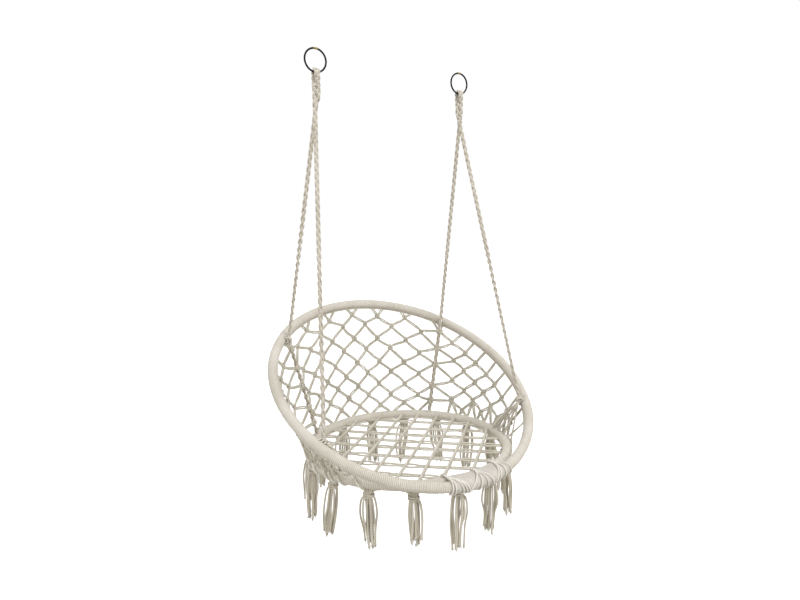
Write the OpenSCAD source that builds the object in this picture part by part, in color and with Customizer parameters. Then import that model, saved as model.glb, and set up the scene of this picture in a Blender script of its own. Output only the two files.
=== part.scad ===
// Two-ring hanging net seat: two steel eyes, four ropes, a tilted back hoop,
// a level seat hoop, a net between the hoops and tassels under the seat.
// Origin: midway between the centres of the two steel eyes.
// -Y is the open front of the seat and +Z is up.
// Left and right are as seen from in front of the seat, so +X points to the right.

/* [Eyes] */
// Distance between the centres of the two steel eyes
eye_spacing = 478; // [440:2:520]
// Outer diameter of a steel eye
eye_od = 66; // [60:1:76]
// Wire diameter of a steel eye
eye_wire = 5; // [4:0.5:5]

/* [Ropes] */
// Diameter of the braided ropes
rope_d = 13; // [11:0.5:13]
// Drop from the centres of the eyes to the middle of the seat hoop
hang_drop = 1082; // [1060:1:1120]
// How far the middle of the seat hoop lies in front of the eyes
seat_forward = 50; // [40:1:60]
// Drop from the centres of the eyes to the binding where the ropes part
binding_drop = 132; // [120:1:150]

/* [Hoops] */
// Outer diameter of the back hoop with its wrapping
back_hoop_od = 800; // [780:2:820]
// Outer diameter of the seat hoop with its wrapping
seat_hoop_od = 612; // [600:2:624]
// Diameter of the steel tube inside each hoop
tube_d = 20; // [16:0.5:22]
// Wall of the steel tube
tube_wall = 1.5; // [1:0.1:2]
// Diameter over the cord wrapping
wrap_d = 28; // [26:0.5:28]
// Tilt of the back hoop from level
back_tilt = 30.5; // [29:0.5:32]

/* [Net] */
// Thickness of the knotted net
net_t = 5; // [4:0.5:6]
// Cord diameter of the seat lattice and the lacing
cord_d = 5; // [4:0.5:6]
// Distance between neighbouring cords of the seat lattice
lattice_pitch = 61; // [58:1:64]

/* [Tassels] */
// Angle of the first tassel, from the +X end of the seat hoop
tassel_start = 15; // [13:1:17]
// Drop from the seat hoop's middle plane to the end of a tassel
tassel_drop = 165; // [140:5:180]
// Widest diameter of a tassel
tassel_d = 34; // [24:1:38]

/* [Hidden] */
NODES = [
    "ring_left", "ring_right", "rope_eye_left", "rope_eye_right",
    "rope_left_back", "rope_left_front", "binding_left",
    "rope_right_back", "rope_right_front", "binding_right",
    "back_hoop_tube", "back_hoop_wrap", "seat_hoop_tube", "seat_hoop_wrap",
    "hitch_left_back", "hitch_left_front", "hitch_right_back", "hitch_right_front",
    "stay_left_back", "stay_left_front", "stay_right_back", "stay_right_front",
    "net_back", "net_left", "net_right", "lacing_left", "lacing_right",
    "seat_lattice", "front_lashing",
    "tassel_01", "tassel_02", "tassel_03", "tassel_04", "tassel_05", "tassel_06",
    "tassel_07", "tassel_08", "tassel_09", "tassel_10", "tassel_11", "tassel_12",
    "tassel_13", "tassel_14", "tassel_15", "tassel_16"
];

CREAM = [0.87, 0.84, 0.77];
NET_CREAM = [0.80, 0.77, 0.68];
STEEL = [0.16, 0.16, 0.17];
TUBE_STEEL = [0.55, 0.56, 0.58];

LEFT = -1;
RIGHT = 1;
gap = 0.5;
eye_r = (eye_od - eye_wire) / 2;
back_r = (back_hoop_od - wrap_d) / 2;
seat_r = (seat_hoop_od - wrap_d) / 2;
seat_c = [0, -seat_forward, -hang_drop];

// At the front the back hoop lies against the outside of the seat hoop, slightly lower.
front_step = [0, -wrap_d - 0.2, -3];
back_front = seat_c + [0, -seat_r, 0] + front_step;
back_c = back_front + back_r * [0, cos(back_tilt), sin(back_tilt)];

// The braid is folded over the eye's wire in a flat U with two short legs.
// Below them each rope starts in a round end, which turns there as the seat sways.
braid_t = 7;
braid_w = 18;
fold_inner = 4.6;
fold_mid = fold_inner + braid_t / 2;
sway_drop = 62.5;
eye_leg_end = sway_drop - rope_d / 2 - 1.3;
rope_half_gap = rope_d / 2 + 0.5;

// Each pair of ropes lies turned by this about +Z, the same way on both sides.
pair_turn = 32;
binding_h = 16;
binding_clear = 0.6;
binding_wall = 2.6;

// A rope swells a little where it bends.
bend_d = rope_d + 0.7;

// Where each rope crosses the back hoop, measured round the hoop from its +X end.
back_rope_angle = 42;
front_rope_angle = -26.5;
rope_inset = wrap_d / 2 + rope_d / 2 + 3;
hitch_half = 22;
hitch_cord = 4.6;
hitch_turns = 2;
hitch_clear = 0.5;

// Where each stay meets the seat hoop, and how far inside the hoop's ridge.
back_stay_angle = 42;
front_stay_angle = -34;
stay_inset = 10;
stay_lift = 19;

// A net panel ends this far from the middle of each tube, and this far from a rope.
net_clear = wrap_d / 2 + 3;
net_shift = 7;
net_steps = 16;
side_margin = 5;
lacing_start = 33;
lacing_step = 4;
lacing_count = 7;
lacing_clear = wrap_d / 2 + 3.2;

lattice_count = 8;
lattice_turn = 43;
lattice_lift = cord_d * 0.4;

lash_pitch = 12.5;
lash_turns = 16;
lash_cord = 4;
lash_clear = 1;

// The lattice ends inside the turns of the front lashing.
lattice_r = seat_r - wrap_d / 2 - lash_clear - lash_cord - gap;

tassel_count = 16;
tassel_pivot = 28.8;
tassel_head = 8.5;
first_tassel = len(NODES) - tassel_count;

function turn_x(a, p) = [p.x, p.y * cos(a) - p.z * sin(a), p.y * sin(a) + p.z * cos(a)];
function back_pt(t, r = back_r) = back_c + turn_x(back_tilt, [r * cos(t), r * sin(t), 0]);
function seat_pt(t, r = seat_r, h = 0) = seat_c + [r * cos(t), r * sin(t), h];
function back_tangent(t) = turn_x(back_tilt, [-sin(t), cos(t), 0]);
function seat_tangent(t) = [-sin(t), cos(t), 0];
function unit(v) = v / norm(v);
function mirrored(side, p) = [side * p.x, p.y, p.z];

// Points on a rope's way: the binding, the crossing at the back hoop and the seat hoop.
function part_pt(side, to_back) = [
    side * eye_spacing / 2 + to_back * rope_half_gap * sin(pair_turn),
    to_back * rope_half_gap * cos(pair_turn),
    -binding_drop
];
function cross_pt(side, angle) = mirrored(side, back_pt(angle, back_r - rope_inset));
function stay_pt(side, angle) =
    mirrored(side, seat_pt(angle, seat_r - stay_inset, stay_lift));
function along(a, b, d) = a + unit(b - a) * d;

// From a point on a hoop's middle line towards b, to this distance off that line.
function off_hoop(a, b, tangent, reach) =
    along(a, b, reach / norm(cross(unit(b - a), tangent)));

// Round bar from a to b.
module bar(a, b, d) {
    v = b - a;
    translate(a)
        rotate([0, acos(v.z / norm(v)), atan2(v.y, v.x)])
            cylinder(d = d, h = norm(v), $fn = 32);
}

// Round torus of centre radius r about the Z axis.
module torus(r, d, sides = 32) {
    rotate_extrude($fn = 96)
        translate([r, 0])
            circle(d = d, $fn = sides);
}

module steel_eye(side) {
    color(STEEL)
        translate([side * eye_spacing / 2, 0, 0])
            rotate([90, 0, 0])
                torus(eye_r, eye_wire);
}

// The flat fold of the rope over the eye's wire, with the tops of its two legs.
module rope_eye(side) {
    color(CREAM)
        translate([side * eye_spacing / 2, 0, -eye_r]) {
            rotate([0, 90, 0])
                rotate([0, 0, 90])
                    rotate_extrude(angle = 180, $fn = 64)
                        translate([fold_inner, -braid_w / 2])
                            square([braid_t, braid_w]);
            for (s = [-1, 1])
                translate([-braid_w / 2, s * fold_mid - braid_t / 2, eye_r - eye_leg_end])
                    cube([braid_w, braid_t, eye_leg_end - eye_r]);
        }
}

// One rope: a short length beside its twin down to the binding, then straight to the hoop.
module rope(side, to_back, angle) {
    knee = part_pt(side, to_back);
    top = [knee.x, knee.y, -sway_drop];
    cross = cross_pt(side, angle);
    color(CREAM) {
        translate(top) sphere(d = rope_d, $fn = 32);
        bar(top, knee, rope_d);
        translate(knee) sphere(d = bend_d, $fn = 32);
        bar(knee, along(cross, knee, hitch_half + 2), rope_d);
    }
}

// Thin cord wound round both ropes just above where they part.
module binding(side) {
    inner = rope_d / 2 + binding_clear;
    color(CREAM)
        translate([side * eye_spacing / 2, 0, -binding_drop + 2])
            rotate([0, 0, -pair_turn])
                linear_extrude(binding_h)
                    difference() {
                        binding_outline(inner + binding_wall);
                        binding_outline(inner);
                    }
}

module binding_outline(r) {
    for (s = [-1, 1])
        translate([0, s * rope_half_gap])
            circle(r = r, $fn = 48);
    translate([-r, -rope_half_gap])
        square([2 * r, 2 * rope_half_gap]);
}

module hoop_tube(r) {
    color(TUBE_STEEL)
        rotate_extrude($fn = 128)
            translate([r, 0])
                difference() {
                    circle(d = tube_d, $fn = 48);
                    circle(d = tube_d - 2 * tube_wall, $fn = 48);
                }
}

module hoop_wrap(r) {
    color(CREAM)
        rotate_extrude($fn = 128)
            translate([r, 0])
                difference() {
                    circle(d = wrap_d, $fn = 48);
                    circle(d = tube_d + 0.2, $fn = 48);
                }
}

module at_back_hoop() {
    translate(back_c)
        rotate([back_tilt, 0, 0])
            children();
}

module at_seat_hoop() {
    translate(seat_c)
        children();
}

// The short length of rope that crosses the hoop, and the turns round the hoop on
// both sides of it, which keep it from sliding.
module hitch(side, angle, to_back, stay_angle) {
    cross = cross_pt(side, angle);
    above = part_pt(side, to_back);
    below = stay_pt(side, stay_angle);
    turn_r = wrap_d / 2 + hitch_cord / 2 + hitch_clear;
    first = rope_d / 2 + hitch_cord / 2 + hitch_clear;
    color(CREAM) {
        bar(cross, along(cross, above, hitch_half), rope_d);
        translate(cross) sphere(d = bend_d, $fn = 32);
        bar(cross, along(cross, below, hitch_half), rope_d);
        mirror([side == LEFT ? 1 : 0, 0, 0])
            at_back_hoop()
                rotate([0, 0, angle])
                    for (i = [0:hitch_turns - 1], s = [-1, 1])
                        translate([back_r, s * (first + i * (hitch_cord + hitch_clear)), 0])
                            rotate([90, 0, 0])
                                torus(turn_r, hitch_cord, 24);
    }
}

// The rope's tail inside the net, from the back hoop down to the seat hoop.
module stay(side, angle, stay_angle) {
    cross = cross_pt(side, angle);
    foot = stay_pt(side, stay_angle);
    color(CREAM)
        bar(along(cross, foot, hitch_half + gap), foot, rope_d);
}

function net_top(t) =
    off_hoop(back_pt(t), seat_pt(t, seat_r + net_shift), back_tangent(t), net_clear);
function net_foot(t) =
    off_hoop(seat_pt(t, seat_r + net_shift), back_pt(t), seat_tangent(t), net_clear);

// A panel of the net: a thin ruled wall between the two hoops.
module net_panel(t0, t1) {
    function angle_at(i) = t0 + (t1 - t0) * i / net_steps;
    function outward(i) = net_t / 2 * [cos(angle_at(i)), sin(angle_at(i)), 0];
    pts = [
        for (i = [0:net_steps])
            let (a = angle_at(i), n = outward(i))
                each [net_top(a) + n, net_top(a) - n, net_foot(a) - n, net_foot(a) + n]
    ];
    last = 4 * net_steps;
    sides = [
        for (i = [0:net_steps - 1], k = [0:3])
            let (a = 4 * i + k, b = 4 * i + (k + 1) % 4, c = b + 4, d = a + 4)
                each [[a, b, c], [a, c, d]]
    ];
    caps = [[0, 2, 1], [0, 3, 2], [last, last + 1, last + 2], [last, last + 2, last + 3]];
    color(NET_CREAM)
        polyhedron(points = pts, faces = concat(sides, caps), convexity = 4);
}

// Cords that lace the two hoops together in front of the net.
module lacing(side) {
    color(NET_CREAM)
        for (i = [0:lacing_count - 1]) {
            a = -lacing_start - i * lacing_step;
            b = a - (i % 2 == 0 ? lacing_step : 0);
            c = a - (i % 2 == 0 ? 0 : lacing_step);
            top = off_hoop(back_pt(b), seat_pt(c), back_tangent(b), lacing_clear);
            foot = off_hoop(seat_pt(c), back_pt(b), seat_tangent(c), lacing_clear);
            bar(mirrored(side, top), mirrored(side, foot), cord_d);
        }
}

// Woven floor of the seat: cords on one diagonal over cords on the other.
module seat_lattice() {
    color(CREAM)
        translate(seat_c)
            for (i = [0:lattice_count - 1], s = [-1, 1]) {
                y = (i - (lattice_count - 1) / 2) * lattice_pitch;
                half = sqrt(pow(lattice_r, 2) - pow(abs(y) + cord_d / 2, 2));
                rotate([0, 0, s * lattice_turn])
                    bar([-half, y, s * lattice_lift], [half, y, s * lattice_lift], cord_d);
            }
}

// One turn of cord round both hoops, in the plane at this x.
module lash_turn(x) {
    t_seat = -90 + asin(x / seat_r);
    t_back = -90 + asin(x / back_r);
    a = seat_pt(t_seat);
    b = back_pt(t_back);
    v = b - a;
    span = norm([v.y, v.z]);
    r = wrap_d / 2 / cos(asin(x / seat_r)) + lash_clear + lash_cord / 2;
    translate([x, a.y, a.z])
        rotate([0, 90, 0])
            rotate([0, 0, atan2(v.y, -v.z)]) {
                half_turn(r, 90);
                translate([span, 0, 0]) half_turn(r, -90);
                for (s = [-r, r])
                    translate([0, s, 0])
                        rotate([0, 90, 0])
                            cylinder(d = lash_cord, h = span, $fn = 24);
            }
}

module half_turn(r, start) {
    rotate([0, 0, start])
        rotate_extrude(angle = 180, $fn = 64)
            translate([r, 0])
                circle(d = lash_cord, $fn = 24);
}

module front_lashing() {
    color(CREAM)
        for (i = [0:lash_turns - 1])
            lash_turn((i - (lash_turns - 1) / 2) * lash_pitch);
}

// A bunch of cord ends under the seat hoop: a round head that widens to a loose skirt.
module tassel(index) {
    neck = tassel_head * 0.8;
    drop = tassel_drop - tassel_pivot;
    color(CREAM)
        translate(seat_pt(tassel_start + index * 360 / tassel_count, seat_r, -tassel_pivot)) {
            sphere(r = tassel_head, $fn = 48);
            rotate_extrude($fn = 48)
                polygon([
                    [0, 0], [neck, 0], [neck, -12], [tassel_d * 0.4, -drop * 0.45],
                    [tassel_d / 2, -drop * 0.75], [tassel_d * 0.42, -drop], [0, -drop]
                ]);
        }
}

steel_eye(LEFT);  // ring_left
steel_eye(RIGHT);  // ring_right
rope_eye(LEFT);  // rope_eye_left
rope_eye(RIGHT);  // rope_eye_right
rope(LEFT, 1, back_rope_angle);  // rope_left_back
rope(LEFT, -1, front_rope_angle);  // rope_left_front
binding(LEFT);  // binding_left
rope(RIGHT, 1, back_rope_angle);  // rope_right_back
rope(RIGHT, -1, front_rope_angle);  // rope_right_front
binding(RIGHT);  // binding_right
at_back_hoop() hoop_tube(back_r);  // back_hoop_tube
at_back_hoop() hoop_wrap(back_r);  // back_hoop_wrap
at_seat_hoop() hoop_tube(seat_r);  // seat_hoop_tube
at_seat_hoop() hoop_wrap(seat_r);  // seat_hoop_wrap
hitch(LEFT, back_rope_angle, 1, back_stay_angle);  // hitch_left_back
hitch(LEFT, front_rope_angle, -1, front_stay_angle);  // hitch_left_front
hitch(RIGHT, back_rope_angle, 1, back_stay_angle);  // hitch_right_back
hitch(RIGHT, front_rope_angle, -1, front_stay_angle);  // hitch_right_front
stay(LEFT, back_rope_angle, back_stay_angle);  // stay_left_back
stay(LEFT, front_rope_angle, front_stay_angle);  // stay_left_front
stay(RIGHT, back_rope_angle, back_stay_angle);  // stay_right_back
stay(RIGHT, front_rope_angle, front_stay_angle);  // stay_right_front
net_panel(back_rope_angle + side_margin, 180 - back_rope_angle - side_margin);  // net_back
net_panel(180 - back_rope_angle + side_margin, 180 - front_rope_angle - side_margin);  // net_left
net_panel(front_rope_angle + side_margin, back_rope_angle - side_margin);  // net_right
lacing(LEFT);  // lacing_left
lacing(RIGHT);  // lacing_right
seat_lattice();
front_lashing();
for (i = [0:tassel_count - 1])
    tassel(i);
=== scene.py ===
"""Looks of the two-ring net hanging seat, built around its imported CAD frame.

Metres, +Z up, -Y the open front of the seat. Angles round a hoop are in degrees from +X.
"""

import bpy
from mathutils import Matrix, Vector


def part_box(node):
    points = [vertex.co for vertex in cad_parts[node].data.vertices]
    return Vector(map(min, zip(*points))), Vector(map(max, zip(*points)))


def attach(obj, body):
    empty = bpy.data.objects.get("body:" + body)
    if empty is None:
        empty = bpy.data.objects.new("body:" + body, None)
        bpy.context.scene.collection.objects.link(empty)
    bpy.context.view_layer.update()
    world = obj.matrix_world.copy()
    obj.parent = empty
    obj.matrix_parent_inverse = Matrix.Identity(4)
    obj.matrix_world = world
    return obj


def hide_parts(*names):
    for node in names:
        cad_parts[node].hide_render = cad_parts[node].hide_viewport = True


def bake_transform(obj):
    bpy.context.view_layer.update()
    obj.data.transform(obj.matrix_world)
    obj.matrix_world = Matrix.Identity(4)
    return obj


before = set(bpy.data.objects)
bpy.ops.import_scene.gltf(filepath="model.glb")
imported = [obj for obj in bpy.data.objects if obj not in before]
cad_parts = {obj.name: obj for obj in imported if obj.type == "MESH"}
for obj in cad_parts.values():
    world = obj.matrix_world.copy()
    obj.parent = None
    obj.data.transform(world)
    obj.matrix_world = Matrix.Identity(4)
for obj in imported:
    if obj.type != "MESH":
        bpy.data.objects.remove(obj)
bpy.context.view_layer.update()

import math

import bpy
import numpy as np
from mathutils import Matrix, Vector

# ---------------------------------------------------------------- sizes from the frame


def middle(node):
    low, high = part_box(node)
    return np.array((low + high) / 2), np.array(high - low)


SEAT_C, seat_size = middle("seat_hoop_wrap")
BACK_C, back_size = middle("back_hoop_wrap")
WRAP_D = seat_size[2]
WRAP_R = WRAP_D / 2
SEAT_R = (seat_size[0] - WRAP_D) / 2
BACK_R = (back_size[0] - WRAP_D) / 2
BACK_TILT = math.acos((back_size[1] - WRAP_D) / (2 * BACK_R))
ring_c, ring_size = middle("ring_right")
EYE_X = ring_c[0]
EYE_WIRE = ring_size[1]
EYE_R = (ring_size[0] - EYE_WIRE) / 2

# Route of the ropes, which keeps within 13 mm of the CAD's.
SWAY_DROP = 0.0625  # the sway pivot below the eye's middle
BINDING_DROP = 0.1240  # the knee, where the two ropes of an eye part
ROPE_D = 0.013
BACK_ROPE = 40.2  # crossings of the back hoop
FRONT_ROPE = -26.5
ROPE_INSET = 0.0200  # crossings inside the middle of its tube
FOLD_MID = 0.0081  # the fold's legs before and behind the eye
BACK_STAY = 42  # feet of the stays on the seat hoop
FRONT_STAY = -34
STAY_INSET = 0.010
STAY_LIFT = 0.019

NET_SHIFT = 0.007  # the net's foot outside the middle of the seat hoop's tube
TASSEL_START = 15.0
TASSEL_COUNT = 16
TASSEL_PIVOT = 0.0288

X, Y, Z = np.eye(3)
SIDES = {"left": -1, "right": 1}

# The two ropes of an eye lie side by side at the top and one behind the other at the knee.
PAIR_TURN = math.radians(32)
PAIR_ACROSS = np.array([math.cos(PAIR_TURN), -math.sin(PAIR_TURN), 0])
PAIR_BEHIND = np.array([math.sin(PAIR_TURN), math.cos(PAIR_TURN), 0])


# ---------------------------------------------------------------- lines

def unit(v):
    return v / np.linalg.norm(v, axis=-1, keepdims=True)


def ease(t):
    t = np.clip(t, 0, 1)
    return t * t * (3 - 2 * t)


def even(line, step):
    """The line again, with its points this far apart. Columns after the third go along."""
    gaps = np.linalg.norm(np.diff(line[:, :3], axis=0), axis=1)
    s = np.concatenate([[0], np.cumsum(gaps)])
    at = np.linspace(0, s[-1], max(3, int(round(s[-1] / step)) + 1))
    return np.stack([np.interp(at, s, column) for column in line.T], 1)


def spline(points, step, dense=10):
    """Smooth line through the points, evenly spaced."""
    p = np.asarray(points, float)
    q = np.vstack([2 * p[0] - p[1], p, 2 * p[-1] - p[-2]])
    a, b, c, d = (q[i:len(q) - 3 + i][:, None] for i in range(4))
    t = np.linspace(0, 1, dense, endpoint=False)[:, None]
    bends = (2 * b + (c - a) * t + (2 * a - 5 * b + 4 * c - d) * t**2
             + (3 * b - a - 3 * c + d) * t**3) / 2
    return even(np.vstack([bends.reshape(-1, p.shape[1]), p[-1:]]), step)


def run(line):
    """Distance along the line to each of its points."""
    gaps = np.linalg.norm(np.diff(line[:, :3], axis=0), axis=1)
    return np.concatenate([[0], np.cumsum(gaps)])


def frames(path, hint, closed=False):
    """Direction, first and second side direction at each point. The first leans to hint."""
    if closed:
        step = np.roll(path, -1, 0) - np.roll(path, 1, 0)
    else:
        step = np.gradient(path, axis=0)
    t = unit(step)
    hint = np.broadcast_to(hint, path.shape)
    n = unit(hint - (hint * t).sum(1, keepdims=True) * t)
    return t, n, np.cross(t, n)


class Hoop:
    """Places on and round a hoop's tube."""

    def __init__(self, centre, radius, tilt=0.0):
        self.centre, self.radius = centre, radius
        self.y = np.array([0, math.cos(tilt), math.sin(tilt)])
        self.z = np.array([0, -math.sin(tilt), math.cos(tilt)])

    def outward(self, angle):
        a = np.radians(angle)
        return np.multiply.outer(np.cos(a), X) + np.multiply.outer(np.sin(a), self.y)

    def tangent(self, angle):
        return self.outward(np.asarray(angle) + 90)

    def at(self, angle, out=0.0, up=0.0):
        """Place at this angle, this far outside and above the middle of the tube."""
        reach = np.asarray(self.radius + np.asarray(out))[..., None]
        return self.centre + self.outward(angle) * reach + np.multiply.outer(up, self.z)

    def around(self, angle, turn, reach):
        """Place round the tube: turn 0 is outside, 90 on top, 180 inside, 270 below."""
        a = np.radians(turn)
        return self.at(angle, reach * np.cos(a), reach * np.sin(a))


SEAT = Hoop(SEAT_C, SEAT_R)
BACK = Hoop(BACK_C, BACK_R, BACK_TILT)


def mirrored(side, p):
    """The place or direction on this side, from the one on the right."""
    return np.asarray(p) * np.array([side, 1, 1])


def side_random(seed, side):
    """Random numbers of their own for the left side and the right one."""
    return np.random.default_rng(seed if side > 0 else seed + 1)


# ---------------------------------------------------------------- meshes

class Shape:
    """Collects tubes into one closed mesh each, all in one object."""

    def __init__(self):
        self.points, self.crests, self.quads, self.tris, self.size = [], [], [], [], 0

    def add(self, points, crests):
        first = self.size
        self.points.append(points)
        self.crests.append(np.broadcast_to(crests, len(points)))
        self.size += len(points)
        return first

    def rings(self, rings, closed=False, crest=1.0):
        """A tube of rings. crest is 1 on the ridges and 0 in the grooves, for the material's
        painted shade in the grooves.
        """
        count, sides = rings.shape[:2]
        first = self.add(rings.reshape(-1, 3),
                         np.broadcast_to(crest, (count, sides)).reshape(-1))
        row = np.arange(count if closed else count - 1)[:, None]
        k = np.arange(sides)
        here, there = first + row * sides, first + (row + 1) % count * sides
        after = (k + 1) % sides
        self.quads.append(
            np.stack([here + k, here + after, there + after, there + k], -1).reshape(-1, 4))
        if closed:
            return
        for end, flip in ((0, True), (count - 1, False)):
            tip = self.add(rings[end].mean(0)[None], 0.6)
            ring = first + end * sides
            a, b = (ring + after, ring + k) if flip else (ring + k, ring + after)
            self.tris.append(np.stack([a, b, np.full(sides, tip)], 1))

    def cord(self, path, hint, d, closed=False, lay=3.5, groove=0.24, phase=0.0, swell=None,
             shade=1.0):
        """A cord of three twisted strands along the path. shade under 1 paints shade on it, over 1
        paints light.
        """
        t, n, b = frames(path, hint, closed)
        s = run(path)
        twist = 2 * np.pi * s / (lay * d)
        if closed:
            whole = s[-1] + np.linalg.norm(path[0] - path[-1])
            turns = max(1, round(whole / (lay * d)))
            twist = 2 * np.pi * turns * s / whole
        k = np.arange(9) / 9 * 2 * np.pi
        lobes = d / 2 * (1 - groove * (0.5 - 0.5 * np.cos(3 * k)))
        size = np.ones(len(path)) if swell is None else swell(s / s[-1])
        turn = (k + (twist + phase)[:, None])[..., None]
        spread = (lobes * size[:, None])[..., None]
        skin = path[:, None] + spread * (np.cos(turn) * n[:, None] + np.sin(turn) * b[:, None])
        # Painted shade in the grooves between strands, scaled by shade for painted shadow or
        # light.
        crest = 0.5 + 0.5 * np.cos(3 * k) if groove > 0.1 else 0.9
        self.rings(skin, closed, crest * np.asarray(shade)[..., None])

    def ball(self, centre, axes, radii):
        """A round bead with the given half sizes along the given directions."""
        rows, sides = 6, 8
        v = (np.arange(rows) + 0.5) / rows * np.pi
        u = np.arange(sides) / sides * 2 * np.pi
        local = np.stack([np.sin(v)[:, None] * np.cos(u), np.sin(v)[:, None] * np.sin(u),
                          -np.cos(v)[:, None] * np.ones(sides)], -1) * radii
        # Painted shade: crest is 0 at the bead's base against the wrapping and 1 on its outside.
        self.rings(centre + local @ axes, crest=0.5 - 0.5 * np.cos(v)[:, None])

    def piece(self, name, material, nodes=()):
        """Makes the object, which stands for these CAD nodes."""
        name += "_cords"
        mesh = bpy.data.meshes.new(name)
        points = np.concatenate(self.points).astype(np.float32)
        mesh.vertices.add(len(points))
        mesh.vertices.foreach_set("co", points.ravel())
        quads = np.concatenate(self.quads)
        tris = np.concatenate(self.tris) if self.tris else np.zeros((0, 3), int)
        mesh.loops.add(quads.size + tris.size)
        mesh.loops.foreach_set(
            "vertex_index", np.concatenate([quads.ravel(), tris.ravel()]).astype(np.int32))
        mesh.polygons.add(len(quads) + len(tris))
        starts = np.concatenate([np.arange(len(quads)) * 4, quads.size + np.arange(len(tris)) * 3])
        mesh.polygons.foreach_set("loop_start", starts.astype(np.int32))
        mesh.update(calc_edges=True)
        # crest carries the painted shade to the material.
        crest = mesh.attributes.new("crest", "FLOAT", "POINT")
        crest.data.foreach_set("value", np.concatenate(self.crests).astype(np.float32))
        mesh.shade_smooth()
        mesh.materials.append(material)
        obj = bpy.data.objects.new(name, mesh)
        bpy.context.scene.collection.objects.link(obj)
        if nodes:
            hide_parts(*nodes)
        return obj


# ---------------------------------------------------------------- materials

def new_material(name):
    material = bpy.data.materials.new(name)
    material.use_nodes = True
    nodes, links = material.node_tree.nodes, material.node_tree.links
    return material, nodes, links, nodes["Principled BSDF"]


def noise(nodes, links, scale, detail=2.0):
    place = nodes.new("ShaderNodeTexCoord")
    texture = nodes.new("ShaderNodeTexNoise")
    texture.inputs["Scale"].default_value = scale
    texture.inputs["Detail"].default_value = detail
    links.new(place.outputs["Object"], texture.inputs["Vector"])
    return texture.outputs["Fac"]


def ramp(nodes, links, source, stops):
    node = nodes.new("ShaderNodeValToRGB")
    for element, (place, colour) in zip(node.color_ramp.elements, stops):
        element.position = place
        element.color = (*colour, 1)
    links.new(source, node.inputs["Fac"])
    return node.outputs["Color"]


def multiply(nodes, links, a, b):
    node = nodes.new("ShaderNodeMix")
    node.data_type = "RGBA"
    node.blend_type = "MULTIPLY"
    node.inputs["Factor"].default_value = 1
    links.new(a, node.inputs["A"])
    links.new(b, node.inputs["B"])
    return node.outputs["Result"]


def bump(nodes, links, shader, heights):
    """Bumps one on another: pairs of a source and its height in metres."""
    normal = None
    for source, height in heights:
        node = nodes.new("ShaderNodeBump")
        node.inputs["Strength"].default_value = 0.6
        node.inputs["Distance"].default_value = height
        links.new(source, node.inputs["Height"])
        if normal:
            links.new(normal, node.inputs["Normal"])
        normal = node.outputs["Normal"]
    links.new(normal, shader.inputs["Normal"])


def cotton(name, light, dark, groove):
    """Soft cotton yarn: two tones in slow patches, painted shade of the colour groove in the
    grooves, fibres and a dusty sheen.
    """
    material, nodes, links, shader = new_material(name)
    patches = ramp(nodes, links, noise(nodes, links, 11, 3), [(0.38, dark), (0.60, light)])
    speck = 0.84
    grains = ramp(nodes, links, noise(nodes, links, 380, 2),
                  [(0.40, (speck, speck, speck * 0.96)), (0.58, (1, 1, 1))])
    crest = nodes.new("ShaderNodeAttribute")
    crest.attribute_name = "crest"
    # Painted shade: the colour groove where crest is 0, in grooves and on stretches given a shade,
    # fading out by crest 0.75.
    depth = ramp(nodes, links, crest.outputs["Fac"], [(0.0, groove), (0.75, (1, 1, 1))])
    colour = multiply(nodes, links, multiply(nodes, links, patches, grains), depth)
    links.new(colour, shader.inputs["Base Color"])
    shader.inputs["Roughness"].default_value = 0.92
    shader.inputs["Specular IOR Level"].default_value = 0.12
    shader.inputs["Sheen Weight"].default_value = 0.15
    shader.inputs["Sheen Roughness"].default_value = 0.5
    bump(nodes, links, shader, [(noise(nodes, links, 260, 2), 0.0010),
                                (noise(nodes, links, 1400, 2), 0.0005)])
    return material


def black_steel():
    material, nodes, links, shader = new_material("black_eye_steel")
    colour = ramp(nodes, links, noise(nodes, links, 160, 4),
                  [(0.3, (0.002, 0.002, 0.002)), (0.75, (0.008, 0.008, 0.009))])
    links.new(colour, shader.inputs["Base Color"])
    rough = nodes.new("ShaderNodeMapRange")
    rough.inputs["To Min"].default_value = 0.16
    rough.inputs["To Max"].default_value = 0.34
    links.new(noise(nodes, links, 240, 3), rough.inputs["Value"])
    links.new(rough.outputs["Result"], shader.inputs["Roughness"])
    shader.inputs["Specular IOR Level"].default_value = 0.12
    shader.inputs["Coat Weight"].default_value = 0.04
    shader.inputs["Coat Roughness"].default_value = 0.08
    bump(nodes, links, shader, [(noise(nodes, links, 500, 3), 0.0002)])
    return material


def weld_metal():
    material, nodes, links, shader = new_material("brassy_weld")
    colour = ramp(nodes, links, noise(nodes, links, 300, 4),
                  [(0.3, (0.10, 0.07, 0.02)), (0.7, (0.44, 0.34, 0.15))])
    links.new(colour, shader.inputs["Base Color"])
    shader.inputs["Metallic"].default_value = 1.0
    shader.inputs["Roughness"].default_value = 0.38
    bump(nodes, links, shader, [(noise(nodes, links, 420, 4), 0.0006)])
    return material


def grey_steel():
    material, nodes, links, shader = new_material("tube_steel")
    colour = ramp(nodes, links, noise(nodes, links, 80, 4),
                  [(0.3, (0.30, 0.30, 0.31)), (0.7, (0.46, 0.46, 0.47))])
    links.new(colour, shader.inputs["Base Color"])
    shader.inputs["Metallic"].default_value = 1.0
    shader.inputs["Roughness"].default_value = 0.4
    bump(nodes, links, shader, [(noise(nodes, links, 600, 3), 0.0001)])
    return material


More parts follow.
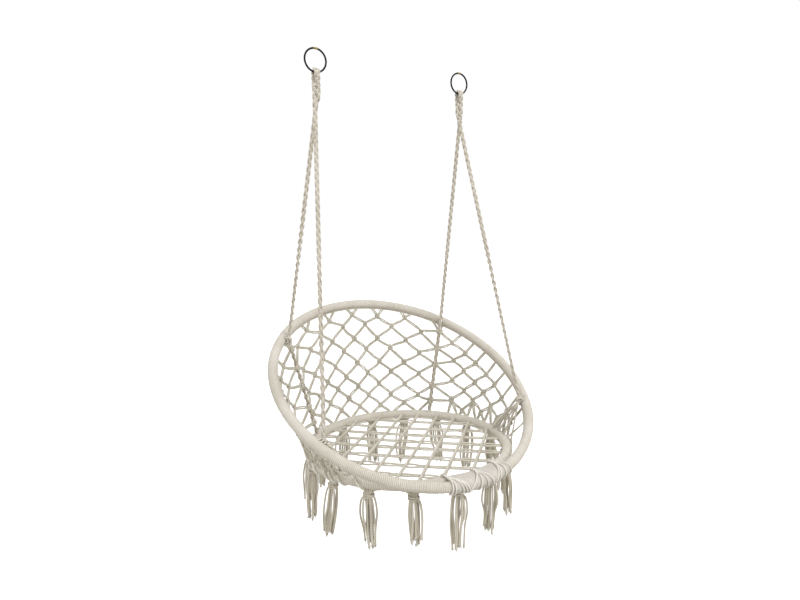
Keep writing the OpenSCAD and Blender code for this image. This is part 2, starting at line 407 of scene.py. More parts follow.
# The last colour of each cotton is its painted shade, for grooves and shaded stretches.
ROPE_COTTON = cotton("rope_cotton", (0.95, 0.90, 0.83), (0.86, 0.81, 0.73), (0.40, 0.36, 0.29))
WRAP_COTTON = cotton("wrap_cotton", (0.76, 0.72, 0.66), (0.69, 0.65, 0.58), (0.50, 0.46, 0.39))
NET_COTTON = cotton("net_cotton", (0.93, 0.89, 0.80), (0.80, 0.76, 0.66), (0.26, 0.24, 0.17))
LATTICE_COTTON = cotton("lattice_cotton",
                        (0.95, 0.91, 0.84), (0.84, 0.80, 0.71), (0.38, 0.35, 0.27))
FAN_COTTON = cotton("fan_cotton", (0.88, 0.84, 0.79), (0.82, 0.78, 0.72), (0.30, 0.27, 0.22))
TASSEL_COTTON = cotton("tassel_cotton",
                       (0.93, 0.88, 0.79), (0.81, 0.76, 0.66), (0.42, 0.38, 0.29))
BLACK = black_steel()
WELD = weld_metal()
STEEL = grey_steel()

# ---------------------------------------------------------------- camera

azimuth, elevation, roll = (math.radians(a) for a in (-31.859, 6.089, -0.955))
back = np.array([math.sin(azimuth) * math.cos(elevation),
                 -math.cos(azimuth) * math.cos(elevation), math.sin(elevation)])
flat_right = np.array([math.cos(azimuth), math.sin(azimuth), 0])
flat_up = np.cross(back, flat_right)
right = flat_right * math.cos(roll) + flat_up * math.sin(roll)
up = flat_up * math.cos(roll) - flat_right * math.sin(roll)
place = SEAT_C + back * 1.69534 - right * 0.0236 + up * 0.4294

camera = bpy.data.objects.new("camera", bpy.data.cameras.new("camera"))
camera.data.sensor_width = 36
camera.data.lens = 25.509
camera.matrix_world = Matrix([[*row, p] for row, p in zip(np.stack([right, up, back], 1), place)]
                             + [[0, 0, 0, 1]])
bpy.context.scene.collection.objects.link(camera)
bpy.context.scene.camera = camera

# ---------------------------------------------------------------- ropes

PLAIT_STEP = 0.0019
PLAIT_PERIOD = 0.066
PLAIT_THICK = 0.0112
# The pull of the ropes takes the knee this far out and back.
KNEE_LEAN = np.array([0.0033, 0.0021, 0])
TOP_APART = 0.0050  # half the distance between an eye's two ropes, at their tops
KNEE_APART = 0.0058  # and at the knee


def plait(shape, line, width, thick, cords, d, period=PLAIT_PERIOD, start=0.0, shade=1.0):
    """Three strands of a few cords each, plaited along a line of points and width directions.

    width and thick are one number or one for each point of the line."""
    path, hint = line[:, :3], line[:, 3:]
    t, w, b = frames(path, hint)
    s = run(path)
    width, thick, shade = (np.broadcast_to(v, s.shape) for v in (width, thick, shade))
    for strand in range(3):
        theta = 2 * np.pi * (s / period + start + strand / 3)
        for j in range(cords):
            place = 2 * j / (cords - 1) - 1
            across = 0.46 * width / 2 * np.sin(theta) + (0.54 * width / 2 - d / 2) * place
            over = (thick / 2 - d / 2) * np.sin(2 * theta)
            centre = path + across[:, None] * w + over[:, None] * b
            both = even(np.hstack([centre, b, shade[:, None]]), PLAIT_STEP)
            shape.cord(both[:, :3], both[:, 3:6], d, phase=strand * 2.1 + j * 1.3,
                       shade=both[:, 6])


def along(a, b, distance):
    return a + unit(b - a) * distance


def rope_stops(side, to_back, angle):
    """Top, knee at the binding, and crossing at the back hoop."""
    axis = side * EYE_X * X
    cross = mirrored(side, BACK.at(angle, out=-ROPE_INSET))
    lean = mirrored(side, KNEE_LEAN)
    return (axis + to_back * TOP_APART * PAIR_ACROSS - SWAY_DROP * Z,
            axis + to_back * KNEE_APART * PAIR_BEHIND - BINDING_DROP * Z + lean, cross)


def stay_foot(side, angle):
    return mirrored(side, SEAT.at(angle, out=-STAY_INSET, up=STAY_LIFT))


def rope_line(side, to_back, angle, stay_angle, tail):
    """Line of the rope with its width directions, from above the sway pivot to its end."""
    top, knee, cross = rope_stops(side, to_back, angle)
    foot = stay_foot(side, stay_angle)
    end = foot if tail is None else along(cross, foot, tail)
    flat = PAIR_ACROSS
    tangent = mirrored(side, BACK.tangent(angle))
    if tangent @ flat < 0:
        tangent = -tangent
    bend = 0.016
    points = [
        (top + Z * 0.005, flat), (top - Z * 0.03, flat), (along(knee, top, bend), flat),
        (along(knee, top, bend / 3) + unit(cross - knee) * 0.002, flat),
        (along(knee, cross, bend), flat),
    ]
    reach = np.linalg.norm(cross - knee)
    for share in (0.12, 0.3, 0.5, 0.7, 0.88):
        points.append((along(knee, cross, reach * share),
                       flat + (tangent - flat) * ease((share - 0.05) / 0.85)))
    points += [(along(cross, knee, bend), tangent), (along(cross, end, bend), tangent)]
    rest = np.linalg.norm(end - cross)
    for share in (0.35, 0.6, 0.8, 1.0):
        if rest * share > bend * 1.2:
            points.append((along(cross, end, rest * share), tangent))
    return spline([np.concatenate(p) for p in points], 0.003)


def ropes():
    for name, side in SIDES.items():
        for way, to_back, angle, stay_angle, tail in (
                ("back", 1, BACK_ROPE, BACK_STAY, None),
                ("front", -1, FRONT_ROPE, FRONT_STAY, 0.034)):
            line = rope_line(side, to_back, angle, stay_angle, tail)
            s = run(line)
            shape = Shape()
            start = np.where(s < 0.012, 0.86 + 0.14 * s / 0.012, 1.0)
            cross_at = s[np.argmin(np.linalg.norm(
                line[:, :3] - rope_stops(side, to_back, angle)[2], axis=1))]
            below = ease((s - cross_at - 0.01) / 0.03)
            # Past the crossing the plait widens a little and is painted darker, as painted shade
            # on the stay.
            plait(shape, line, ROPE_D * start * (1 + 0.06 * below), PLAIT_THICK * start, 2, 0.0046,
                  start=0.1 * side + 0.05 * to_back, shade=1 - 0.50 * below)
            nodes = [f"rope_{name}_{way}"]
            if way == "back":
                nodes.append(f"stay_{name}_back")
            rope = shape.piece(f"rope_{name}_{way}", ROPE_COTTON, nodes)
            knee, cross = rope_stops(side, to_back, angle)[1:]
            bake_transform(rope)


ropes()


def rope_eyes():
    """The flat fold of the plait over each steel eye, which narrows into the two ropes."""
    for name, side in SIDES.items():
        shape = Shape()
        x = side * EYE_X
        legs = {}
        for way in (-1, 1):
            # The leg in front goes on as the rope to the back, and the other one crosses it.
            top = rope_stops(side, -way, 0)[0]
            y = way * FOLD_MID
            legs[way] = [
                (np.array([x, y, -EYE_R]), X),
                (np.array([x, y, -EYE_R - 0.009]), X),
                (np.array([(x + top[0]) / 2, (y + top[1]) / 2, -EYE_R - 0.020]),
                 (X + PAIR_ACROSS) / 2),
                (top, PAIR_ACROSS), (top - Z * 0.004, PAIR_ACROSS)]
        over = [(np.array([x, FOLD_MID * math.sin(a), -EYE_R + FOLD_MID * math.cos(a)]), X)
                for a in np.radians([-60, -30, 0, 30, 60])]
        points = legs[-1][::-1] + over + legs[1]
        line = spline([np.concatenate(p) for p in points], 0.0025)
        s = run(line)
        narrowing = ease((np.abs(s - s[-1] / 2) - 0.018) / 0.03)
        width = 0.0188 - 0.0048 * narrowing
        thick = 0.0074 + 0.0014 * narrowing
        plait(shape, line, width, thick, 4, 0.0035, period=0.05, start=0.2)
        eye = shape.piece(f"rope_eye_{name}", ROPE_COTTON, [f"rope_eye_{name}"])
        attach(eye, f"eye_{name}")


def bindings():
    """A few turns of thin cord round both ropes above the place where they part."""
    for name, side in SIDES.items():
        centre = np.array([side * EYE_X, 0, -BINDING_DROP + 0.004]) + mirrored(side, KNEE_LEAN)
        shape = Shape()
        a = np.linspace(0, 2 * np.pi, 56, endpoint=False)
        reach = 0.0064
        lobes = np.sign(np.sin(a)) * 0.0045 * np.minimum(1, np.abs(np.sin(a)) * 2)
        for turn in range(4):
            path = (centre + np.outer(reach * np.cos(a), PAIR_ACROSS)
                    + np.outer(lobes + reach * 0.8 * np.sin(a), PAIR_BEHIND)
                    + np.outer(0.0021 * turn + 0.0006 * np.sin(a + turn), Z))
            shape.cord(path, Z, 0.0020, closed=True)
        ride = shape.piece(f"binding_{name}", ROPE_COTTON, [f"binding_{name}"])
        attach(ride, f"{name}_ropes")


ROUND_WIRE = np.arange(24) / 24 * 2 * np.pi


def on_eye(side, a, reach, closed=False):
    """Rings round an eye's wire at these angles of the eye, this far from the wire's middle."""
    path = side * EYE_X * X + EYE_R * (np.outer(np.cos(a), X) + np.outer(np.sin(a), Z))
    _, n, b = frames(path, Y, closed)
    k = ROUND_WIRE[:, None]
    return path[:, None] + reach[..., None] * (np.cos(k) * n[:, None] + np.sin(k) * b[:, None])


def rings():
    """Black wire eyes with a brassy weld on top."""
    for name, side in SIDES.items():
        a = np.linspace(0, 2 * np.pi, 160, endpoint=False)
        wobble = EYE_WIRE / 2 * (1 + 0.012 * np.sin(7 * a) + 0.01 * np.sin(17 * a + 1))
        shape = Shape()
        shape.rings(on_eye(side, a, wobble[:, None], closed=True), closed=True)
        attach(shape.piece(f"ring_{name}", BLACK, [f"ring_{name}"]), "rings")
        a = np.radians(np.linspace(76, 101, 26))
        share = np.linspace(-1, 1, len(a))
        size = EYE_WIRE / 2 * (0.90 + 0.26 * np.sqrt(1 - share**2) + 0.05 * np.sin(share * 11))
        lumps = 1 + 0.05 * np.sin(3 * ROUND_WIRE[None] + share[:, None] * 9)
        weld = Shape()
        weld.rings(on_eye(side, a, size[:, None] * lumps))
        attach(weld.piece(f"weld_{name}", WELD), "rings")


# ---------------------------------------------------------------- hoops

WRAP_PITCH = 0.0046


def hoop_wrap(name, hoop, seed):
    """Cord wound closely round the tube, one ridge for each turn, with a few uneven turns."""
    random = np.random.default_rng(seed)
    turns = int(round(2 * np.pi * hoop.radius / WRAP_PITCH))
    per_turn, sides = 6, 28
    u = np.arange(turns * per_turn) / per_turn
    k = np.arange(sides) / sides
    phase = u[:, None] - k
    index = np.floor(phase).astype(int) % turns
    proud = random.normal(0, 0.00022, turns)[index]
    slow = 0.0005 * np.sin(u / turns * 2 * np.pi * 9 + 1)[:, None]
    ridge = np.abs(np.sin(np.pi * phase)) ** 0.8
    reach = WRAP_R - 0.0013 + 0.0013 * ridge + proud * ridge + slow * 0.5
    shape = Shape()
    angle = np.broadcast_to(u[:, None] / turns * 360, reach.shape)
    # Round the tube the other way, so that the faces look outwards.
    # Painted shade between the turns: crest follows the ridge and is 0 in the gaps.
    shape.rings(hoop.around(angle, -k * 360, reach), closed=True, crest=ridge)
    obj = shape.piece(name, WRAP_COTTON, [name])
    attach(obj, "seat")


# Half sizes of a half hitch, and how it leans in the plane of the wrapping's surface.
BEAD_SIZE = np.array([0.0028, 0.0052, 0.0032])
BEAD_LEAN = np.array([[math.cos(0.6), math.sin(0.6), 0],
                      [-math.sin(0.6), math.cos(0.6), 0],
                      [0, 0, 1]])


def bead_row(name, hoop, turn, seed):
    """The row of half hitches along the hoop."""
    random = np.random.default_rng(seed)
    count = int(round(2 * np.pi * hoop.radius / WRAP_PITCH))
    shape = Shape()
    for i in range(count):
        angle = (i + random.normal(0, 0.06)) / count * 360
        way = turn + random.normal(0, 2.5)
        centre = hoop.around(angle, way, WRAP_R + 0.0010)
        tangent, out = hoop.tangent(angle), unit(centre - hoop.at(angle))
        axes = np.stack([tangent, np.cross(tangent, out), out])
        shape.ball(centre, BEAD_LEAN @ axes, BEAD_SIZE * (1 + random.normal(0, 0.06)))
    obj = shape.piece(name, WRAP_COTTON)
    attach(obj, "seat")


# ---------------------------------------------------------------- net

CORD = 0.0058
PAIR_GAP = 0.0025
NET_STEP = 0.0022


def ruling(t):
    """Upper end, lower end and outward normal of the net's straight line at this angle."""
    top, foot = BACK.at(t), SEAT.at(t, out=NET_SHIFT)
    normal = unit(np.cross(BACK.tangent(t), foot - top))
    return top, foot, normal * np.sign(normal @ BACK.outward(t))


def net_at(t, s):
    """Point and normal on the net, s from the middle of the back hoop's tube."""
    top, foot, normal = ruling(t)
    return along(top, foot, s), normal


def net_length(t):
    top, foot, _ = ruling(t)
    return np.linalg.norm(foot - top)


def knot(shape, centre, up, normal, random, size=1.6, d=0.0034):
    """A small tight knot of cord."""
    a = np.linspace(0, 2 * np.pi, 40, endpoint=False)
    turn = random.uniform(0, 2 * np.pi)
    u = unit(up - (up @ normal) * normal)
    v = np.cross(normal, u)
    reach = (0.0031 + 0.0016 * np.cos(3 * a)) * size
    local = np.stack([reach * np.cos(2 * a + turn), 1.15 * reach * np.sin(2 * a + turn),
                      0.0019 * size * np.sin(3 * a)], 1)
    path = centre + local @ np.stack([v, u, normal])
    shape.cord(path, normal, d * size, closed=True, lay=3.2, groove=0.14)


def pair(shape, a, b, random, bow=0.0, tall=(0.0, 0.0)):
    """Two cords side by side between two knots, given as (point, normal).

    tall is how far up or down they leave the middle of each knot."""
    (p, p_normal), (q, q_normal) = a, b
    normal = unit(p_normal + q_normal)
    drop = unit(unit(q - p) + Z * np.sign((q - p) @ Z))
    p, q = p + drop * tall[0], q - drop * tall[1]
    direction = unit(q - p)
    across = np.cross(normal, direction)
    share = np.array([0, 0.14, 0.35, 0.65, 0.86, 1.0])
    wide = PAIR_GAP * random.uniform(0.9, 1.15)
    apart = np.array([0.0010, 0.0020, wide, wide, 0.0020, 0.0010])
    sag = bow * 4 * share * (1 - share)
    out = random.uniform(-0.0015, 0.0020) * 4 * share * (1 - share)
    for way in (-1, 1):
        wander = random.normal(0, 0.0004, 6) * [0, 1, 1, 1, 1, 0]
        points = (p + np.outer(share, q - p) + np.outer(way * apart + sag + wander, across)
                  + np.outer(out + way * 0.0004, normal))
        line = spline(points, NET_STEP, 6)
        shape.cord(line, normal, CORD, phase=random.uniform(0, 6))


def stay_at(s):
    """Point and normal on the right back stay, s from the middle of the back hoop's tube."""
    cross, foot = BACK.at(BACK_ROPE, out=-ROPE_INSET), stay_foot(1, BACK_STAY)
    share = s / net_length(BACK_ROPE)
    return cross + (foot - cross) * share, ruling(BACK_ROPE)[2]


TALL = 0.006  # how far above and below its middle the cords leave a knot
# The net's knots: angles of their columns from the middle to the right stay, rows as shares of
# the net's height, and distances of those on a stay from the middle of the back hoop's tube.
BACK_COLUMNS = [90, 83, 76, 68.5, 60, 51.5, 42.5]
BACK_ROWS = [0.10, 0.185, 0.295, 0.40, 0.51, 0.615, 0.715, 0.805, 0.90]
STAY_NODES = [0.030, 0.096, 0.156, 0.234, 0.290]
JITTER = np.array([0.35, 0.0028])  # degrees along the net, metres down it
HOOP_TIE = 0.011
SEAT_TIE = 0.009


def net_back():
    random = np.random.default_rng(11)
    shape = Shape()
    columns = [180 - t for t in BACK_COLUMNS[:0:-1]] + BACK_COLUMNS
    centre = len(BACK_COLUMNS) - 1
    nodes = {}
    for i, t in enumerate(columns):
        c = abs(i - centre)
        for j, share in enumerate(BACK_ROWS):
            if (c + j) % 2:
                continue
            s = STAY_NODES[j // 2] if c == centre else share * net_length(t)
            jitter = random.normal(0, 1, 2) * JITTER
            if c < centre:
                nodes[i, j] = net_at(t + jitter[0], s + jitter[1])
            else:
                side = 1 if i else -1
                nodes[i, j] = tuple(mirrored(side, v) for v in stay_at(s))
    for (i, j), here in nodes.items():
        if abs(i - centre) < centre:
            knot(shape, here[0], Z, here[1], random, random.uniform(1.5, 1.8))
        for step in (-1, 1):
            there = nodes.get((i + step, j + 1))
            if there:
                tall = [TALL * (abs(k - centre) < centre) for k in (i, i + step)]
                pair(shape, here, there, random, bow=random.normal(0, 0.0012), tall=tall)
        t = columns[i]
        if j == 0:
            for step in (-3.5, 3.5):
                pair(shape, net_at(t + step, HOOP_TIE), here, random)
        if j == len(BACK_ROWS) - 1:
            for step in (-1, 1):
                if 0 <= i + step < len(columns):
                    a = columns[i + step]
                    foot = net_at(a + (t - a) * 0.12, net_length(a) - SEAT_TIE)
                    pair(shape, here, foot, random)
    obj = shape.piece("net_back", NET_COTTON, ["net_back"])
    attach(obj, "seat")


def side_node(m, n):
    """Angle and distance down the net of a knot, m columns before the stay and n rows down."""
    if m == 0:
        return BACK_ROPE, STAY_NODES[n] if n < len(STAY_NODES) else None
    t = BACK_ROPE + 0.5 - 7.9 * m - 1.6 * n
    s = 0.048 + 0.061 * n + 0.008 * m - 0.00025 * m * m
    return t, s if s < net_length(t) - 0.025 else None


def net_side(name, side):
    random = side_random(21, side)
    shape = Shape()

    def at(t, s):
        point, normal = net_at(t, s)
        return mirrored(side, point), mirrored(side, normal)

    nodes = {}
    for m in range(9):
        for n in range(6):
            t, s = side_node(m, n)
            if s is None:
                continue
            jitter = random.normal(0, 1, 2) * JITTER
            if m:
                place = at(t + jitter[0], s + jitter[1])
            else:
                place = (mirrored(side, v) for v in stay_at(s))
            nodes[m, n] = (*place, t)
    for (m, n), (point, normal, t) in nodes.items():
        here = point, normal
        knot(shape, point, Z, normal, random, random.uniform(1.5, 1.8) if m else 2.1)
        if m and n == 0:
            pair(shape, at(t - 5, HOOP_TIE), here, random)
        for step, level in ((1, 0), (1, -1)):
            there = nodes.get((m + step, n + level))
            if there:
                pair(shape, here, there[:2], random, bow=random.normal(0, 0.0012),
                     tall=(TALL * (m > 0), TALL * (m + step > 0)))
        # The lowest knots are tied to the seat hoop.
        if (m, n + 1) not in nodes and m:
            for step in (-3.2, 3.2):
                foot = t - 1.4 + step
                pair(shape, here, at(foot, net_length(foot) - SEAT_TIE), random)
    obj = shape.piece(f"net_{name}", NET_COTTON, [f"net_{name}"])
    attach(obj, "seat")


# Legs of the lacing: angle on the back hoop, and on the seat hoop. The right side has fewer.
LACED = {"left": [(-20, 7), (-21, 1), (-26, 0), (-27, -10), (-33, -14), (-34, -20), (-42, -31)],
         "right": [(-20, -9), (-36, -31)]}
# A leg's way over the seat hoop: drift along it, turn round it, and how far it sinks in.
OVER_HOOP = [(0, 60, 0), (1.2, 25, 0), (2.8, -15, 0), (4.4, -55, 0), (5.6, -95, 0.003)]


def lacing(name, side):
    """Cords from the back hoop's lower edge down to the seat hoop, and on round its outside."""
    random = side_random(31, side)
    shape = Shape()
    for apex, foot in LACED[name]:
        start = BACK.around(apex, 284, WRAP_R + 0.001)
        normal = mirrored(side, BACK.outward(apex))
        # A raised cord painted lighter, as painted light, with a cord beside it painted darker as
        # its shadow.
        for k, reach, shade in ((0, WRAP_R + 0.0030, 1.1), (-0.9, WRAP_R + 0.0008, 0.4)):
            high = start + BACK.tangent(apex) * k * -0.004
            middle = high + (SEAT.around(foot + k, 60, reach) - high) * 0.5
            points = [high, middle] + [SEAT.around(foot + k - drift, turn, reach - sunk)
                                       for drift, turn, sunk in OVER_HOOP]
            line = spline([mirrored(side, q) for q in points], NET_STEP)
            shape.cord(line, normal, 0.0050, groove=0.09, phase=random.uniform(0, 6), shade=shade)
    obj = shape.piece(f"lacing_{name}", LATTICE_COTTON, [f"lacing_{name}"])
    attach(obj, "seat")


# ---------------------------------------------------------------- hitches and front stays

# Turns of a hitch: how much each leans and how far along the hoop it lies, in degrees.
HITCH_TURNS = [(0.9, 0.7), (-0.9, -0.7), (1.3, -0.1), (-1.3, 0.1), (0.2, 1.5), (-0.2, -1.5)]
# Ends of a front stay's cords: angle on the seat hoop and turn round it.
STAY_ENDS = [(-13, 112), (-20, 105), (-27, 85), (-34, 25)]


def hitches():
    """Turns of cord over each rope on the hoop's inner side. Their ends go into the wrapping."""
    for name, side in SIDES.items():
        random = side_random(71, side)
        for way, angle in (("back", BACK_ROPE), ("front", FRONT_ROPE)):
            shape = Shape()
            for i, (lean, shift) in enumerate(HITCH_TURNS):
                at = np.linspace(96, 264, 40)
                away = (at - 180) / 84
                wide = angle + shift + lean * np.sin(away * np.pi / 2)
                rise = 0.0125 * np.exp(-(away / 0.42) ** 2) * (1 if abs(shift) < 1 else 0.25)
                reach = WRAP_R + 0.0016 - 0.0045 * np.abs(away) ** 3 + rise + 0.0008 * (i % 2)
                path = even(BACK.around(wide, at, reach), 0.002)
                shape.cord(mirrored(side, path), mirrored(side, BACK.tangent(angle)), 0.0044,
                           phase=random.uniform(0, 6))
            hitch = shape.piece(f"hitch_{name}_{way}", ROPE_COTTON,
                                [f"hitch_{name}_{way}"])
            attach(hitch, "seat")


def front_stays():
    """Below the front hitches each rope parts into cords that spread over the seat hoop."""
    for name, side in SIDES.items():
        random = side_random(41, side)
        cross = rope_stops(side, -1, FRONT_ROPE)[2]
        foot = stay_foot(side, FRONT_STAY)
        root = along(cross, foot, 0.018)
        normal = mirrored(side, BACK.outward(FRONT_ROPE))
        tangent = mirrored(side, BACK.tangent(FRONT_ROPE))
        shape = Shape()
        for i, (angle, turn) in enumerate(STAY_ENDS):
            end = mirrored(side, SEAT.around(angle, turn, WRAP_R + 0.0012))
            begin = root + tangent * (1.5 - i) * 0.0034
            mid = begin + (end - begin) * 0.55 + Z * 0.002
            for twin in (-1, 1):
                shift = tangent * twin * 0.0021
                points = [begin + shift * 0.7 - unit(foot - cross) * 0.004, begin + shift,
                          mid + shift * 1.1 + random.normal(0, 0.0006, 3), end + shift]
                # Painted shade: the stay's cords are painted darker all along.
                shape.cord(spline(points, NET_STEP), normal, 0.0046, phase=random.uniform(0, 6),
                           shade=0.7)
        stay = shape.piece(f"stay_{name}_front", ROPE_COTTON, [f"stay_{name}_front"])
        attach(stay, "seat")


# ---------------------------------------------------------------- seat

LATTICE_TURN = math.radians(43)
LATTICE_PITCH = 0.061


def lattice():
    """Twisted pairs of cords one way, over pairs that open and close the other way."""
    random = np.random.default_rng(51)
    shape = Shape()
    reach = SEAT_R - WRAP_R + 0.004
    pitch = LATTICE_PITCH
    offsets = (np.arange(8) - 3.5) * pitch
    for sign, lift in ((1, 0.0022), (-1, -0.0022)):
        direction = np.array([math.cos(LATTICE_TURN), sign * math.sin(LATTICE_TURN), 0])
        across = np.array([-sign * math.sin(LATTICE_TURN), math.cos(LATTICE_TURN), 0])
        for offset in offsets:
            offset = offset + random.normal(0, 0.003)
            half = math.sqrt(reach**2 - offset**2)
            s = np.arange(-half, half, 0.002)
            bow = random.normal(0, 0.002) * np.cos(s / half * np.pi / 2)
            base = SEAT_C + np.outer(s, direction) + np.outer(offset + bow, across)
            # The cords sag a little in the middle.
            sag = -0.004 * (1 - (s / half) ** 2) * (half / reach)
            if sign > 0:
                turn = s / 0.024 * 2 * np.pi + random.uniform(0, 6)
                for twin in (0, np.pi):
                    path = (base + np.outer(0.0027 * np.cos(turn + twin), across)
                            + np.outer(lift + sag + 0.0027 * np.sin(turn + twin), Z))
                    shape.cord(path, Z, 0.0054, phase=twin)
            else:
                cell = (s + half) / pitch
                lens = random.uniform(0.0, 1.0, 12)[np.floor(cell).astype(int) % 12]
                lens = np.where(lens > 0.3, lens, 0)
                opened = 0.0031 + 0.0070 * lens * np.sin(np.pi * cell) ** 2
                for twin in (-1, 1):
                    path = (base + np.outer(twin * opened, across)
                            + np.outer(lift + sag + twin * 0.0006, Z))
                    shape.cord(path, Z, 0.0060, phase=random.uniform(0, 6))
    obj = shape.piece("seat_lattice", LATTICE_COTTON, ["seat_lattice"])
    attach(obj, "seat")


def track(x, share, reach):
    """Place on the path round both hoops at the front in the plane at x.

    share goes from 0, on top of the seat hoop, over the back hoop's outer side to 1 below it."""
    a = SEAT.at(-90 + np.degrees(np.arcsin(x / SEAT_R)))
    b = BACK.at(-90 + np.degrees(np.arcsin(x / BACK_R)))
    v = b - a
    span = np.linalg.norm(v[:, 1:], axis=1)
    ahead = np.stack([np.zeros(len(x)), v[:, 1] / span, v[:, 2] / span], 1)
    above = np.stack([np.zeros(len(x)), -ahead[:, 2], ahead[:, 1]], 1)
    above *= np.sign(above[:, 2:])
    arc = np.pi * reach
    total = span + arc
    at = share * total
    on_flat = np.clip(at, 0, span)
    turn = np.clip(at - span, 0, arc) / reach
    centre = a + ahead * on_flat[:, None]
    return centre + reach * (np.sin(turn)[:, None] * ahead + np.cos(turn)[:, None] * above)


# Raised cords of the three fans: x on top of the seat hoop, and x below the back hoop.
RAISED = [(-0.073, -0.082), (-0.072, -0.073), (-0.070, -0.050), (-0.069, -0.039), (-0.067, -0.031),
          (0.012, -0.030), (0.013, 0.001), (0.015, 0.026), (0.017, 0.046), (0.084, 0.056),
          (0.086, 0.067), (0.088, 0.092), (0.090, 0.116)]


def front_lashing():
    """Raised cords in three fans over both hoops, and smooth bundles between them."""
    random = np.random.default_rng(61)
    shape = Shape()

    def lash(top, end, reach, groove, shade):
        share = np.linspace(-0.14, 0.99, 60)
        x = top + (end - top) * ease((share - 0.05) / 0.8)
        path = track(x, np.clip(share, 0, 1), reach)
        before = share < 0
        path[before] += (np.outer(share[before] * 0.07, [0, -1, 0])
                         - np.outer((share[before] / 0.14) ** 2 * 0.007, Z))
        shape.cord(even(path, 0.0021), X, 0.0050, groove=groove, phase=random.uniform(0, 6),
                   shade=shade)

    for (top, end), (next_top, next_end) in zip(RAISED, RAISED[1:]):
        steps = int(max(abs(next_top - top), abs(next_end - end)) / 0.0036) + 1
        for share in np.arange(1, steps) / steps:
            # Painted shadow: the bundles are painted darkest beside each raised cord, and darker
            # than the raised cords everywhere.
            near = min(share, 1 - share) * steps
            lash(top + (next_top - top) * share, end + (next_end - end) * share,
                 WRAP_R + 0.0002, 0.05, 0.30 if near < 1.1 else 0.62)
    # The raised cords are painted lighter than the bundles, as painted light.
    for top, end in RAISED:
        lash(top, end, WRAP_R + 0.0036, 0.09, 1.1)
    for x in (-0.070, 0.014, 0.088):
        top = track(np.array([x]), np.zeros(1), WRAP_R + 0.003)[0] + Y * 0.006
        for k in range(2):
            knot(shape, top + X * (k - 0.5) * 0.005, Y, Z, random, 1.15, 0.0042)
    obj = shape.piece("front_lashing", FAN_COTTON, ["front_lashing"])
    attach(obj, "seat")


# ---------------------------------------------------------------- tassels

# How far the longest strand of each tassel hangs below the hoop's middle.
TASSEL_LENGTHS = [0.166, 0.160, 0.170, 0.163, 0.158, 0.168, 0.166, 0.170,
                  0.160, 0.168, 0.154, 0.186, 0.174, 0.172, 0.164, 0.169]


def tassel(index):
    """Cords gathered under the seat hoop, and a loose skirt that bows out, with frayed ends."""
    random = np.random.default_rng(100 + index)
    angle = TASSEL_START + index * 360 / TASSEL_COUNT
    name = f"tassel_{index + 1:02d}"
    centre = SEAT.at(angle)
    out, way = SEAT.outward(angle), SEAT.tangent(angle)
    lean = random.normal(0, 0.005, 2)
    drift = lean[0] * out + lean[1] * way
    shape = Shape()
    neck = centre - Z * (TASSEL_PIVOT - 0.002)
    # Gather: cords from both sides along the hoop bend down into the neck.
    gathered = 18
    for i in range(gathered):
        phi = (i + 0.5) / gathered * 2 * np.pi
        reach = 0.034 * math.cos(phi) * random.uniform(0.75, 1.0)
        depth = 0.011 * math.sin(phi)
        on_hoop = SEAT.around(angle + math.degrees(reach / SEAT_R),
                              270 + math.degrees(depth / WRAP_R), WRAP_R - 0.001)
        in_neck = neck + 0.24 * reach * way + 0.6 * depth * out
        points = [on_hoop, on_hoop + (neck - on_hoop) * [0.42, 0.42, 0.20],
                  in_neck, in_neck - Z * 0.010]
        shape.cord(spline(points, 0.0023), out, 0.0046, phase=random.uniform(0, 6))
    # Skirt.
    strands = 12
    for i in range(strands):
        phi = i / strands * 2 * np.pi + random.normal(0, 0.2)
        ring = math.cos(phi) * out + math.sin(phi) * way
        flare = random.choice([0.010, 0.014, 0.019, 0.024], p=[0.3, 0.3, 0.25, 0.15])
        end = flare * random.uniform(0.35, 0.95)
        end_drop = random.uniform(0, 0.022) - TASSEL_LENGTHS[index]
        swing = random.normal(0, 0.0015, (3, 3)) * [1, 1, 0]
        inner = 0.35 if flare < 0.012 else 1
        points = [
            neck + Z * 0.004 + ring * 0.0080 * inner,
            neck - Z * 0.006 + ring * 0.0100 * inner,
            neck - Z * 0.020 + ring * flare * 0.85 + swing[0] * 0.5,
            neck - Z * 0.055 + ring * flare + swing[0] + drift * 0.35,
            neck - Z * 0.092 + ring * (flare + end) / 2 + swing[1] + drift * 0.8,
            centre + Z * end_drop + ring * end + swing[2] + drift,
        ]
        line = spline(points, 0.0023)
        shape.cord(line, way + 0.3 * out, 0.0060, phase=random.uniform(0, 6), groove=0.2,
                   swell=lambda u: 1 + 0.25 * ease((u - 0.94) / 0.06))
        tip, heading = line[-1], unit(line[-1] - line[-4])
        for _ in range(6):
            spray = random.normal(0, 1, 3) * [1, 1, 0.2]
            bits = [tip - heading * 0.003 + spray * 0.0008, tip + heading * 0.002 + spray * 0.0014,
                    tip + heading * random.uniform(0.004, 0.008) + spray * 0.0022]
            shape.cord(spline(bits, 0.0025, 4), Y, 0.0013, groove=0.0)
    # Two turns round the neck.
    for turn in range(2):
        a = np.linspace(0, 2 * np.pi, 52, endpoint=False)
        path = (neck + 0.0125 * np.outer(np.cos(a), out) + 0.0135 * np.outer(np.sin(a), way)
                - np.outer(0.001 + 0.0043 * turn + 0.0014 * np.sin(a + 2 * turn), Z))
        shape.cord(path, Z, 0.0044, closed=True)
    obj = shape.piece(name, TASSEL_COTTON, [name])
    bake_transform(obj)


# ---------------------------------------------------------------- everything else

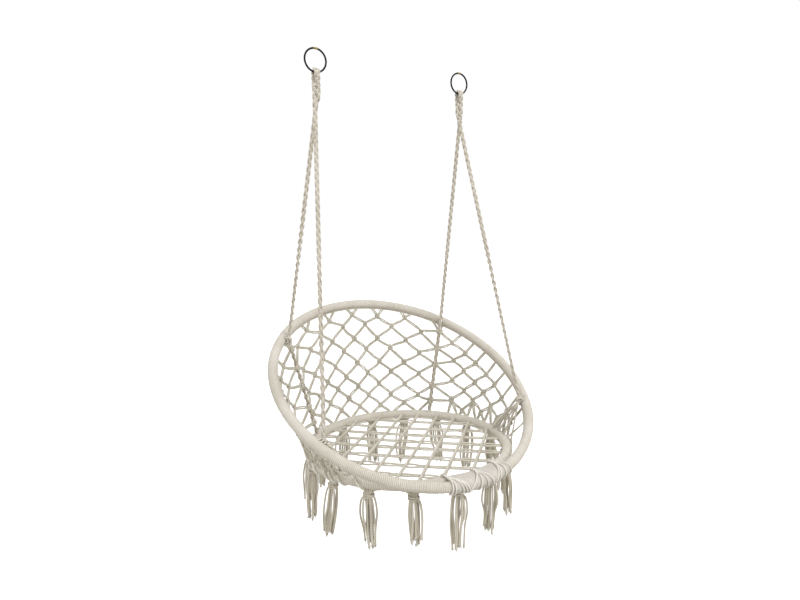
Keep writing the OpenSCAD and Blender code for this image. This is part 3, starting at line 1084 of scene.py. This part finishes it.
rope_eyes()
bindings()
rings()
hoop_wrap("back_hoop_wrap", BACK, 1)
hoop_wrap("seat_hoop_wrap", SEAT, 2)
bead_row("back_hoop_beads", BACK, 232, 3)
bead_row("seat_hoop_beads", SEAT, 222, 4)
for node in ("back_hoop_tube", "seat_hoop_tube"):
    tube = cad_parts[node]
    tube.data.materials.clear()
    tube.data.materials.append(STEEL)
net_back()
for name, side in SIDES.items():
    net_side(name, side)
    lacing(name, side)
hitches()
front_stays()
lattice()
front_lashing()
for index in range(TASSEL_COUNT):
    tassel(index)


# ---------------------------------------------------------------- studio

def emission(name, level):
    material = bpy.data.materials.new(name)
    material.use_nodes = True
    nodes = material.node_tree.nodes
    nodes.clear()
    light = nodes.new("ShaderNodeEmission")
    light.inputs["Strength"].default_value = level
    out = nodes.new("ShaderNodeOutputMaterial")
    material.node_tree.links.new(light.outputs["Emission"], out.inputs["Surface"])
    return material


def only_seen(obj):
    """The camera sees it, and it neither lights nor shades the object."""
    obj.visible_diffuse = obj.visible_glossy = obj.visible_transmission = False
    obj.visible_volume_scatter = obj.visible_shadow = False


def white_world():
    """Even light from all round, a little warmer and darker from below."""
    scene = bpy.context.scene
    world = scene.world or bpy.data.worlds.new("studio")
    scene.world = world
    world.use_nodes = True
    nodes, links = world.node_tree.nodes, world.node_tree.links
    place = nodes.new("ShaderNodeTexCoord")
    height = nodes.new("ShaderNodeSeparateXYZ")
    share = nodes.new("ShaderNodeMapRange")
    share.inputs["From Min"].default_value = -1
    links.new(place.outputs["Generated"], height.inputs["Vector"])
    links.new(height.outputs["Z"], share.inputs["Value"])
    colour = ramp(nodes, links, share.outputs["Result"],
                  [(0.25, (0.78, 0.76, 0.70)), (0.72, (0.97, 0.97, 0.98))])
    links.new(colour, nodes["Background"].inputs["Color"])
    nodes["Background"].inputs["Strength"].default_value = 0.92


def room():
    """A pale floor and a white backdrop, which the camera alone sees."""
    material, nodes, links, shader = new_material("pale_floor")
    colour = ramp(nodes, links, noise(nodes, links, 3, 2),
                  [(0.4, (0.92, 0.92, 0.92)), (0.6, (0.95, 0.95, 0.95))])
    links.new(colour, shader.inputs["Base Color"])
    shader.inputs["Roughness"].default_value = 0.9
    shader.inputs["Emission Color"].default_value = (1, 1, 1, 1)
    shader.inputs["Emission Strength"].default_value = 0.55
    far, level = 40, SEAT_C[2] - 0.75
    corners = [(x, y, level) for x, y in ((-far, -far), (far, -far), (far, far), (-far, far))]
    mesh = bpy.data.meshes.new("floor")
    mesh.from_pydata(corners, [], [(0, 1, 2, 3)])
    mesh.materials.append(material)
    floor = bpy.data.objects.new("floor", mesh)

    sides = 48
    a = np.arange(sides) / sides * 2 * np.pi
    low = np.stack([far * np.cos(a), far * np.sin(a), np.full(sides, level - 1)], 1)
    points = [*map(tuple, low), *map(tuple, low + Z * 60), (0, 0, level + 59)]
    walls = [(i, (i + 1) % sides, sides + (i + 1) % sides, sides + i) for i in range(sides)]
    ceiling = [(sides + i, sides + (i + 1) % sides, 2 * sides) for i in range(sides)]
    mesh = bpy.data.meshes.new("backdrop")
    mesh.from_pydata(points, [], walls + ceiling)
    mesh.materials.append(emission("white_backdrop", 1.0))
    backdrop = bpy.data.objects.new("backdrop", mesh)
    for obj in (floor, backdrop):
        bpy.context.scene.collection.objects.link(obj)
        only_seen(obj)


def lamps():
    """A key light from the right and a weaker fill from the left, both from the front."""
    for name, where, size, power in (("key", (1.1, -2.6, 1.7), 1.2, 52),
                                     ("fill", (-2.2, -1.6, 0.6), 2.0, 14)):
        light = bpy.data.lights.new(name, "AREA")
        light.size, light.energy = size, power
        lamp = bpy.data.objects.new(name, light)
        lamp.location = where
        aim = Vector(SEAT_C) + Vector((0, 0, 0.3)) - Vector(where)
        lamp.rotation_euler = aim.to_track_quat("-Z", "Y").to_euler()
        bpy.context.scene.collection.objects.link(lamp)


bpy.context.scene.view_settings.view_transform = "Standard"
white_world()
room()
lamps()
